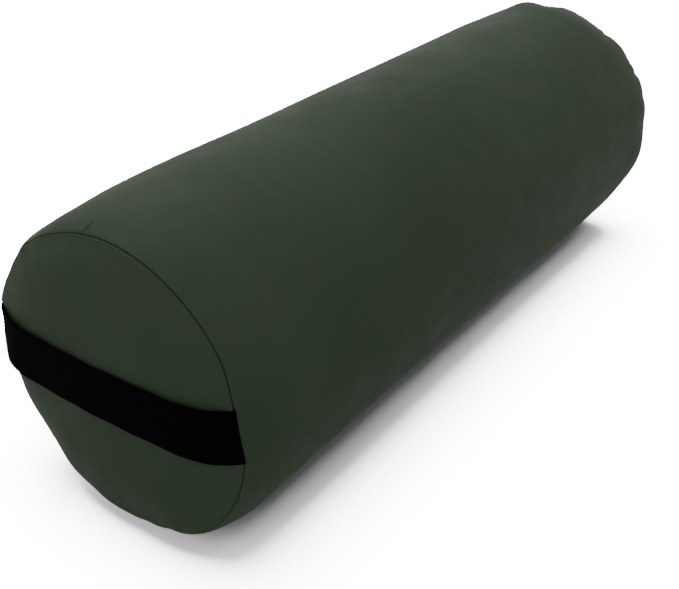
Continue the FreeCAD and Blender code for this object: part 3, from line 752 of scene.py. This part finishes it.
def zip_metal():
    """Die-cast zinc in dark enamel, worn a little on its faces."""
    shader = Shader("zip_metal")
    where = shader.places()
    wear = shader.noise(where, 420, 5, 0.7)
    fine = shader.noise(where, 3000, 2)
    bare = shader.spread(wear, 0.66, 0.74)
    colour = shader.blend(bare, (0.020, 0.022, 0.021), (0.30, 0.29, 0.27))
    return shader.finish(
        Base_Color=colour, Metallic=shader.spread(bare, 0, 1, 0.35, 1.0),
        Roughness=shader.spread(fine, 0.3, 0.7, 0.28, 0.42),
        Normal=shader.relief(wear, 0.03 * MM),
    )


def thread():
    """Bonded polyester sewing thread, twisted, a shade lighter than the vinyl, with painted shade in the
    low places of its twist.
    """
    shader = Shader("thread")
    twist = shader.noise(shader.places((1, 1, 1), (0.5, 0.7, 0.3)), 2400, 1)
    # Colour lighter where the twist's relief rises and darker where it sinks: painted shade.
    colour = shader.blend(twist, (0.024, 0.029, 0.022), (0.052, 0.060, 0.046))
    return shader.finish(
        Base_Color=colour, Roughness=0.55, Sheen_Weight=0.2,
        Normal=shader.relief(twist, 0.12 * MM),
    )


def floor_paint(name, tone):
    """A plain floor, very slightly mottled."""
    shader = Shader(name)
    mottle = shader.noise(shader.places(), 3, 4)
    colour = shader.blend(mottle, (0.98 * tone, 0.97 * tone, 0.99 * tone), (tone, tone, tone))
    return shader.finish(
        Base_Color=colour, Roughness=0.9, Specular_IOR_Level=0.0,
        Normal=shader.relief(mottle, 0.05 * MM),
    )


COVER_TONE = (0.0210, 0.0325, 0.0185)
VINYL_SIDE = vinyl("vinyl_side", COVER_TONE)
VINYL_END = vinyl("vinyl_end", COVER_TONE)
THREAD = thread()
METAL = zip_metal()


# ---- the cover ----

def closed_panel(name, outer, inner, material):
    """A sheet closed at its rim: rows that run full circle, outer face and inner face."""
    rows, around = outer.shape[:2]
    points = np.concatenate([outer.reshape(-1, 3), inner.reshape(-1, 3)])
    face = ring_faces(rows, around)
    far = rows * around
    rim = np.arange((rows - 1) * around, far)
    beside = np.roll(rim, -1)
    joined = np.stack([rim, beside, beside + far, rim + far], 1)
    centre = [list(range(around))[::-1], list(range(far, far + around))]
    faces = face.tolist() + (face[:, ::-1] + far).tolist() + joined.tolist() + centre
    return new_object(name, points, faces, material, "pillow")


def spaced(stops):
    """Distances from the seam that thin out in steps: (until, step) pairs, seam outwards."""
    made = [0.0]
    for until, step in stops:
        while made[-1] < until - step / 2:
            made.append(made[-1] + step)
    return np.array(made)


def end_panel(name, node, end):
    """A crowned disc whose edge folds in along the seam."""
    distances = spaced([(5 * MM, 0.9 * MM), (45 * MM, 2.2 * MM), (PANEL_LENGTH - 2 * MM, 4 * MM)])
    distances = np.append(distances, PANEL_LENGTH - 0.6 * MM)
    rows = Rows(1, distances[::-1])
    angle = np.linspace(0, TURN, 360, endpoint=False)[None, :]
    outer = laid_out(rows, end, angle, 0)
    inner = laid_out(rows, end, angle, VINYL)
    panel = closed_panel(name, outer, inner, VINYL_END)
    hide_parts(node)


def slot_opening(x):
    """Half the width between the slot's folded edges, at places along the bolster."""
    closing = smooth(np.abs(x), SLOT_HALF_LENGTH - 1.5 * MM, SLOT_HALF_LENGTH + 2.5 * MM)
    return SLOT_HALF_WIDTH + (SLOT_CLOSED - SLOT_HALF_WIDTH) * closing


def side_around():
    """Distances round the bolster from the zip's line, seen where its slot is full width."""
    near = np.arange(SLOT_HALF_WIDTH + VINYL, 23.6 * MM, 0.8 * MM)
    half = np.concatenate([near, np.linspace(24 * MM, math.pi * RADIUS, 160)])
    whole = np.concatenate([half, TURN * RADIUS - half[-2::-1]])
    pleat_place = (PLEAT_ANGLE - ZIP_ANGLE) * RADIUS
    extra = pleat_place + np.arange(-6, 6.1, 0.75) * MM
    clear = whole[np.abs(whole - pleat_place) > 6.5 * MM]
    return np.sort(np.concatenate([clear, extra]))


def side_sheet(rows, end, flat_around):
    """Outer face, edge folds and inner face of half of the side panel, row by row."""
    x = end * rows.place[:, :1]
    opening = slot_opening(x)
    middle = math.pi * RADIUS
    far = middle - np.abs(flat_around[None, :] - middle)
    closing = (SLOT_HALF_WIDTH - opening) * (1 - smooth(far, 8 * MM, 22 * MM))
    far = far - closing
    side = np.sign(middle - flat_around + 1e-9)[None, :]
    angle = ZIP_ANGLE + side * far / RADIUS
    channel = np.exp(-(((far - TOPSTITCH_ACROSS) / (0.7 * MM)) ** 2))
    channel = channel * (np.abs(x) < SLOT_HALF_LENGTH + 5 * MM) * 0.35 * MM
    thick = VINYL * (2 - smooth(far, HEM_HALF_WIDTH - 1 * MM, HEM_HALF_WIDTH))
    outer = laid_out(rows, end, angle, channel)
    inner = laid_out(rows, end, angle, thick)
    turn = np.linspace(0, math.pi, 7)[1:-1]
    starts = ZIP_ANGLE + np.array([1, -1])[:, None] * (opening.T + VINYL) / RADIUS
    folds = []
    for sign, start in zip((1, -1), starts):
        lean = sign * VINYL * np.sin(turn)[None, :] / RADIUS
        depth = VINYL * (1 - np.cos(turn))[None, :]
        folds.append(laid_out(rows, end, start[:, None] - lean, depth))
    return np.concatenate([outer, folds[1], inner[:, ::-1], folds[0][:, ::-1]], 1)


def side_panel():
    """The rolled sheet, from one folded edge of the zip's slot round to the other."""
    near_slot_end = SIDE_LENGTH - SLOT_HALF_LENGTH
    distances = spaced([
        (5 * MM, 0.9 * MM),
        (near_slot_end - 5 * MM, 2.4 * MM),
        (near_slot_end + 5 * MM, 0.9 * MM),
        (SIDE_LENGTH / 2, 8 * MM),
        (SIDE_LENGTH - 7 * MM, 13 * MM),
    ])
    rows = Rows(-1, distances[::-1])
    flat_around = side_around()
    handle = side_sheet(rows, HANDLE, flat_around)[::-1]
    far = side_sheet(rows, FAR, flat_around)
    sheet = np.concatenate([handle, far])
    faces = capped(*sheet.shape[:2])
    panel = new_object("side_panel_cover", sheet, faces, VINYL_SIDE, "pillow")
    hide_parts("side_panel")


# ---- filling ----

def core():
    """The firm foam cylinder with eased ends."""
    ease = 5 * MM
    turn = np.linspace(math.pi / 2, 0, 6)
    x = np.concatenate([np.linspace(0, CORE_X - ease, 40), CORE_X - ease + ease * np.cos(turn[1:])])
    radius = np.concatenate([np.full(40, CORE_RADIUS), CORE_RADIUS - ease + ease * np.sin(turn[1:])])
    x = np.concatenate([-x[:0:-1], x])[:, None]
    radius = np.concatenate([radius[:0:-1], radius])[:, None]
    angle = np.linspace(0, TURN, 128, endpoint=False)[None, :]
    give = (SWELL.at(1.7 * x, angle) - 0.4 * MM) * 0.25
    points = on_cylinder(x, radius + give, angle)
    made = new_object("foam_core_block", points, capped(*points.shape[:2]), foam(), "pillow")
    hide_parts("foam_core")


def sleeve():
    """The batting wrapped round the core, pressed thin under the zip and where it rests."""
    along_shoulder = (CORE_X - SHOULDER_START[0]) * 1.02
    first = SIDE_LENGTH - along_shoulder - SHOULDER_START[0]
    distances = spaced([(first, first), (45 * MM, 3 * MM), (SIDE_LENGTH - 4 * MM, 8 * MM)])[1:]
    place, normal = plain_outline(-distances)
    inset = VINYL + LAYER_GAP
    angle = np.linspace(0, TURN, 220, endpoint=False)[None, :]
    halves = []
    for end in (HANDLE, FAR):
        x, radius = place[:, :1], place[:, 1:]
        up = rise(end, -distances[:, None], x, radius, angle)
        out = radius + normal[:, 1:] * (up - inset)
        across = wrapped(angle - ZIP_ANGLE) * RADIUS
        pressed = RECESS_HEIGHT / np.cos(wrapped(angle - ZIP_ANGLE).clip(-1, 1))
        under_zip = 1 - smooth(np.abs(across), RECESS_HALF_WIDTH, RECESS_HALF_WIDTH + 3 * MM)
        under_zip = under_zip * (1 - smooth(x, 284 * MM, 288 * MM))
        out = out + np.minimum(pressed - out, 0) * under_zip
        along = np.minimum(x + normal[:, :1] * (up - inset), CORE_X)
        halves.append(rested(on_cylinder(end * along, out, angle), inset))
    outer = np.concatenate([halves[0], halves[1][::-1]])
    x = outer[:, :1, 0]
    inner = on_cylinder(x, CORE_RADIUS + LAYER_GAP, angle)
    loop = np.concatenate([outer, inner[::-1]])
    rings, around = loop.shape[:2]
    faces = (ring_faces(rings + 1, around) % (rings * around)).tolist()
    made = new_object("batting_sleeve_wrap", loop, faces, batting("batting_sleeve", 1), "pillow")
    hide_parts("batting_sleeve")


def pad(name, node, end):
    """The disc of batting that crowns one end."""
    distances = spaced([(15 * MM, 15 * MM), (PANEL_LENGTH - 2 * MM, 3.5 * MM)])[1:]
    place, normal = plain_outline(distances)
    inset = VINYL + LAYER_GAP
    angle = np.linspace(0, TURN, 160, endpoint=False)[None, :]
    up = rise(end, distances[:, None], place[:, :1], place[:, 1:], angle)
    along = place[:, :1] + normal[:, :1] * (up - inset)
    out = np.minimum(place[:, 1:] + normal[:, 1:] * (up - inset), PAD_RADIUS)
    crown = on_cylinder(end * along, out, angle)
    foot = end * (CORE_X + LAYER_GAP)
    rim = on_cylinder(foot, out[:1], angle)
    base = on_cylinder(foot, 5 * MM, angle)
    points = np.concatenate([base, rim, crown])
    made = new_object(name, points, capped(*points.shape[:2]), batting(name, 2), "pillow")
    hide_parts(node)


# ---- the end seams' threads ----

def seam_thread(name, node, end):
    """The lock stitch's two threads, dipping between stitches on each side of the allowances."""
    angle = np.linspace(0, TURN, 540, endpoint=False)
    up = rise(end, 0.0, SEAM[0], SEAM[1], angle)
    stitches = round(TURN * SEAM_RADIUS / STITCH_LENGTH)
    lift = THREAD_RADIUS * (0.6 + 0.5 * np.abs(np.sin(stitches / 2 * angle)))
    y, beside = strap_at_seam(angle)
    shift = np.stack(strap_shift(y, beside, 0.0), -1) * (end == HANDLE)
    tail = (STRAP_ROOM + STRAP_PINCH * STRAP_THICK) * (end == HANDLE)
    beyond = VINYL + tail + PARTING
    paths = []
    for way, layer in ((1, beyond), (-1, VINYL + PARTING)):
        across = way * (layer + lift)[:, None] * TOWARDS_SIDE
        place = SEAM + shift + FOLD * THREAD_DEPTH - FOLD * up[:, None] + across
        paths.append(on_cylinder(end * place[:, 0], place[:, 1], angle))
    points, faces = tubes(paths, (1.0, 0.0, 0.0), THREAD_RADIUS, 6, closed=True)
    made = new_object(name, points, faces, THREAD, "pillow")
    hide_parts(node)


# ---- the strap ----

def strap_outline():
    """The strap's underside from its middle to a tail's tip, by place, normal and distance.

    The distances are those from the seam, along the strap.
    """
    crest = END_X + STRAP_ROOM
    middle = np.array([crest - STRAP_CROWN, 0])
    flat_end = middle + [math.sqrt(STRAP_CROWN**2 - STRAP_FLAT**2), STRAP_FLAT]
    tuck = SEAM + STRAP_ROOM / 2 * TOWARDS_SIDE + STRAP_SUNK * FOLD
    bend_centre, bend = tangent_arc(flat_end, (middle - flat_end) / STRAP_CROWN, tuck)
    stations = []
    first = math.asin(STRAP_FLAT / STRAP_CROWN)
    for angle in np.linspace(0, first, 30):
        normal = np.array([math.cos(angle), math.sin(angle)])
        stations.append((middle + STRAP_CROWN * normal, normal))
    start, stop = angle_of(flat_end - bend_centre), angle_of(tuck - bend_centre)
    for angle in np.linspace(start, stop, 26)[1:]:
        normal = np.array([math.cos(angle), math.sin(angle)])
        stations.append((bend_centre + bend * normal, normal))
    at_seam = len(stations) - 1
    for angle in np.linspace(stop, angle_of(TOWARDS_SIDE), 9)[1:]:
        stations.append((tuck, np.array([math.cos(angle), math.sin(angle)])))
    for depth in (1.5 * MM, 4 * MM, STRAP_TAIL):
        stations.append((tuck + FOLD * depth, TOWARDS_SIDE))
    place = np.array([station[0] for station in stations])
    normal = np.array([station[1] for station in stations])
    passed = run_along(place)
    return place, normal, np.maximum(passed[at_seam] - passed, 0)


def strap_section(count):
    """A flat band's rounded section: shares across its width and through its thickness."""
    across = np.linspace(-1, 1, count)
    over = np.stack([across, np.ones(count)], 1)
    under = np.stack([across[::-1], np.zeros(count)], 1)
    over[[0, -1], 1] = 0.7
    under[[0, -1], 1] = 0.3
    return np.concatenate([over, under])


def strap():
    """Webbing over the crowned end, folded over the seam at both sides and tucked in."""
    place, normal, distance = strap_outline()
    place = np.concatenate([place[:0:-1], place])
    normal = np.concatenate([normal[:0:-1], normal])
    distance = np.concatenate([distance[:0:-1], distance])
    stations = len(place)
    side = np.sign(np.arange(stations) - stations // 2)[:, None]
    section = strap_section(STRAP_COLUMNS)
    flat = section[None, :, 0] * STRAP_HALF_WIDTH
    edge_wave = 0.25 * MM * np.sin(np.linspace(0, 60, stations))[:, None]
    across = flat + edge_wave * (np.abs(section[None, :, 0]) > 0.9)
    height = section[None, :, 1] * STRAP_THICK
    pinch = STRAP_PINCH + (1 - STRAP_PINCH) * smooth(distance, 0, 9 * MM)
    height = height * pinch[:, None]
    shift = strap_shift(side, across, distance[:, None])
    along = place[:, :1] + normal[:, :1] * height + shift[0]
    out = place[:, 1:] + normal[:, 1:] * height + shift[1]
    bowed = smooth(place[:, 1:], 40 * MM, 90 * MM)
    across = across - strap_droop(out)
    y = side * np.sqrt(np.maximum(out**2 - bowed * (across + STRAP_RISE) ** 2, 0))
    cosine, sine = math.cos(STRAP_TILT), math.sin(STRAP_TILT)
    points = np.stack(
        [-along, y * cosine - across * sine, AXIS + STRAP_RISE + across * cosine + y * sine], -1
    )
    faces = capped(*points.shape[:2])
    made = new_object("strap_webbing", points, faces, webbing(), None)
    run = run_along(points[:, STRAP_COLUMNS // 2])
    coordinates = np.stack(np.broadcast_arrays(run[:, None], flat), -1).reshape(-1, 2)
    strip_coordinates(made, coordinates)
    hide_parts("carry_strap")
    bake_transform(made)


def strip_coordinates(obj, coordinates):
    """Gives a strip its metres along and across as a UV map."""
    layer = obj.data.uv_layers.new(name="strip")
    corners = np.zeros(len(obj.data.loops), int)
    obj.data.loops.foreach_get("vertex_index", corners)
    layer.data.foreach_set("uv", coordinates[corners].astype(np.float32).ravel())


# ---- the zip ----

def tape(name, node, side):
    """One woven tape, with a firm edge towards the chain."""
    half_length = tape_high.x
    x = np.linspace(-half_length, half_length, 180)[:, None]
    inner = 0.3 * MM + 1.4 * MM * (1 - smooth(x, coil_low.x - 1 * MM, coil_low.x))
    share = np.array([0, 0.03, 0.2, 0.4, 0.6, 0.8, 0.97, 1])
    across = inner + (TAPE_HALF_WIDTH - inner) * share[None, :]
    ease = np.where((share == 0) | (share == 1), 0.18 * MM, 0)[None, :]
    top = on_cylinder(x, TAPE_TOP - ease, ZIP_ANGLE + side * across / TAPE_TOP)
    low = TAPE_TOP - TAPE_THICK + ease
    under = on_cylinder(x, low, ZIP_ANGLE + side * across / TAPE_TOP)
    points = np.concatenate([top, under[:, ::-1]], 1)
    made = new_object(name, points, capped(*points.shape[:2]), TAPE, "pillow")
    flat = np.concatenate([across, across[:, ::-1]], 1)
    coordinates = np.stack(np.broadcast_arrays(x, flat), -1).reshape(-1, 2)
    strip_coordinates(made, coordinates)
    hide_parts(node)


def coil(name, node, side):
    """One side of the chain: a nylon filament wound in hooks that the other side's fit between."""
    turns = int((coil_high.x - coil_low.x - 2 * COIL_WIRE) / COIL_PITCH) - 1
    steps = 14
    t = np.arange(turns * steps + 1) / steps
    offset = COIL_WIRE + (0.5 * COIL_PITCH if side > 0 else 0)
    x = coil_low.x + offset + 0.2 * MM + t * COIL_PITCH
    head, back = -COIL_HOOK, COIL_HALF_WIDTH - COIL_WIRE
    middle, reach = (head + back) / 2, (back - head) / 2
    cosine, sine = np.cos(t * TURN), np.sin(t * TURN)
    across = middle - reach * np.sign(cosine) * np.abs(cosine) ** 0.7
    height = COIL_BASE + COIL_RISE / 2 + (COIL_RISE / 2 - COIL_WIRE - 0.05 * MM) * (
        np.sign(sine) * np.abs(sine) ** 0.7
    )
    path = at_zip(x, side * across, height)[None]
    points, faces = tubes(path, (1.0, 0.0, 0.0), COIL_WIRE, 6)
    made = new_object(name, points, faces, NYLON, "pillow")
    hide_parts(node)


def short_stitches(starts, ends, heading, dip):
    """Stitches as short threads that arch out of the cloth and dip back in at both ends."""
    share = np.linspace(0, 1, 7)
    arch = np.array([-1.0, 0.1, 0.8, 1.0, 0.8, 0.1, -1.0]) * dip
    paths = starts[:, None] + (ends - starts)[:, None] * share[None, :, None]
    return paths + heading[:, None] * arch[None, :, None]


def topstitch(name, node, side):
    """A line of topstitching through the hem, one thread over each stitch."""
    half_length = stitch_high.x
    count = round(2 * half_length / STITCH_LENGTH)
    edges = np.linspace(-half_length, half_length, count + 1)
    angle = ZIP_ANGLE + side * TOPSTITCH_ACROSS / RADIUS
    radius = np.empty(count + 1)
    for i, x in enumerate(edges):
        radius[i] = RADIUS + stitch_rise(x, angle) - 0.15 * MM
    line = on_cylinder(edges, radius, angle)
    gap = 0.3 * MM * np.array([1.0, 0, 0])
    heading = unit(on_cylinder(0, 1.0, angle) - on_cylinder(0, 0.0, angle))
    headings = np.repeat(heading[None], count, 0)
    paths = short_stitches(line[:-1] + gap, line[1:] - gap, headings, 0.3 * MM)
    points, faces = tubes(paths, heading, THREAD_RADIUS, 6)
    made = new_object(name, points, faces, THREAD, "pillow")
    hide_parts(node)


def stitch_rise(x, angle):
    """The side panel's rise above its plain shape at a place along the bolster."""
    end = HANDLE if x < 0 else FAR
    return float(rise(end, abs(x) - SIDE_LENGTH, abs(x), RADIUS, angle))


def end_tacks():
    """A dense bar of zigzag stitches across each end of the slot."""
    starts, ends = [], []
    place = SLOT_HALF_LENGTH + 2.5 * MM
    angles = ZIP_ANGLE + np.linspace(-TACK_HALF_LENGTH, TACK_HALF_LENGTH, 27) / RADIUS
    for end in (HANDLE, FAR):
        for i in range(len(angles) - 1):
            lean = 0.8 * MM if i % 2 else -0.8 * MM
            for kept, angle, way in ((starts, angles[i], 1), (ends, angles[i + 1], -1)):
                x = end * place + way * lean
                kept.append(on_cylinder(x, RADIUS + stitch_rise(x, angle) + 0.1 * MM, angle))
    starts, ends = np.array(starts), np.array(ends)
    heading = unit(on_cylinder(0, 1.0, ZIP_ANGLE) - on_cylinder(0, 0.0, ZIP_ANGLE))
    headings = np.repeat(heading[None], len(starts), 0)
    paths = short_stitches(starts, ends, headings, 0.22 * MM)
    points, faces = tubes(paths, heading, 0.26 * MM, 6)
    made = new_object("zip_end_bartacks", points, faces, THREAD, "pillow")
    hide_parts("zip_end_tacks")


# ---- studio ----

def camera():
    """Looks down at the strapped end, with the bolster running away to the upper right.

    Its lens, angles and place come from a fit of this shape's outline.
    """
    data = bpy.data.cameras.new("camera")
    data.lens = 55.094
    data.clip_start, data.clip_end = 0.02, 50
    obj = bpy.data.objects.new("camera", data)
    bpy.context.scene.collection.objects.link(obj)
    heading = Matrix.Rotation(math.radians(35.392 - 90), 4, "Z")
    tilt = Matrix.Rotation(math.radians(90 - 30.120), 4, "X")
    roll = Matrix.Rotation(math.radians(-0.241), 4, "Z")
    spot = Vector((-0.66918, -0.42932, AXIS + 0.38156))
    obj.matrix_world = Matrix.Translation(spot) @ heading @ tilt @ roll
    bpy.context.scene.camera = obj


def studio():
    """A pale floor with lights of its own, and soft light all round the object.

    The floor lights' directions began as a fit's. Their spreads and strengths were set one by one.
    """
    floor = plane("studio_floor", 0.0, floor_paint("floor_seen", 0.25))
    floor.visible_diffuse = False
    floor.visible_glossy = False
    bounce = plane("floor_bounce", -1 * MM, floor_paint("floor_bounce", 0.72))
    bounce.visible_camera = False
    world = bpy.data.worlds.new("studio")
    world.use_nodes = True
    backdrop = world.node_tree.nodes["Background"]
    backdrop.inputs["Color"].default_value = (1, 1, 1, 1)
    backdrop.inputs["Strength"].default_value = 1.2
    bpy.context.scene.world = world
    lamp("key", (0.1, 0.6, 1.5), 1.2, 12)
    lamp("fill", (-1.7, -0.5, 0.45), 1.3, 4)
    on_floor = bpy.data.collections.new("lit_floor")
    on_floor.objects.link(floor)
    for name, elevation, azimuth, spread, strength in (
        ("floor_overhead", 90, 0, 36, 170),
        ("floor_behind", 70, 90, 30, 24),
        ("floor_front", 70, 255, 30, 11),
        ("floor_left", 40, 180, 40, 10),
        ("floor_back", 25, 60, 30, 6),
    ):
        sky = sun(name, elevation, azimuth, spread, strength)
        sky.light_linking.receiver_collection = on_floor


def plane(name, height, material):
    """A wide level plane that isn't part of the object."""
    bpy.ops.mesh.primitive_plane_add(size=30, location=(0, 0, height))
    made = bpy.context.object
    made.name = name
    made.data.materials.append(material)
    return made


def sun(name, elevation, azimuth, spread, strength):
    """A distant light from that direction, as wide across as its spread, all in degrees."""
    data = bpy.data.lights.new(name, "SUN")
    data.angle = math.radians(spread)
    data.energy = strength
    obj = bpy.data.objects.new(name, data)
    bpy.context.scene.collection.objects.link(obj)
    up, around = math.radians(elevation), math.radians(azimuth)
    towards = Vector((math.cos(up) * math.cos(around), math.cos(up) * math.sin(around), math.sin(up)))
    obj.rotation_euler = towards.to_track_quat("Z", "Y").to_euler()
    return obj


def lamp(name, place, size, power):
    """A square lamp aimed at the bolster."""
    data = bpy.data.lights.new(name, "AREA")
    data.size = size
    data.energy = power
    obj = bpy.data.objects.new(name, data)
    bpy.context.scene.collection.objects.link(obj)
    obj.location = place
    aim = Vector((0, 0, AXIS)) - Vector(place)
    obj.rotation_euler = aim.to_track_quat("-Z", "Y").to_euler()
    obj.visible_camera = False


def dress(nodes, material):
    """Gives CAD nodes that stay as they are their finish."""
    for name in nodes:
        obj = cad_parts[name]
        obj.data.materials.clear()
        obj.data.materials.append(material)
        obj.data.shade_smooth()


TAPE = zip_tape()
NYLON = zip_nylon()

end_panel("end_panel_handle_cover", "end_panel_handle", HANDLE)
end_panel("end_panel_far_cover", "end_panel_far", FAR)
side_panel()
core()
sleeve()
pad("batting_pad_handle_disc", "batting_pad_handle", HANDLE)
pad("batting_pad_far_disc", "batting_pad_far", FAR)
seam_thread("seam_thread_handle", "end_seam_thread_handle", HANDLE)
seam_thread("seam_thread_far", "end_seam_thread_far", FAR)
strap()
tape("tape_upper", "zip_tape_upper", 1)
tape("tape_lower", "zip_tape_lower", -1)
coil("coil_upper", "zip_coil_upper", 1)
coil("coil_lower", "zip_coil_lower", -1)
topstitch("topstitch_upper", "zip_topstitch_upper", 1)
topstitch("topstitch_lower", "zip_topstitch_lower", -1)
end_tacks()
dress(["zip_slider", "zip_pull_tab", "zip_top_stops", "zip_bottom_stop"], METAL)
camera()
studio()
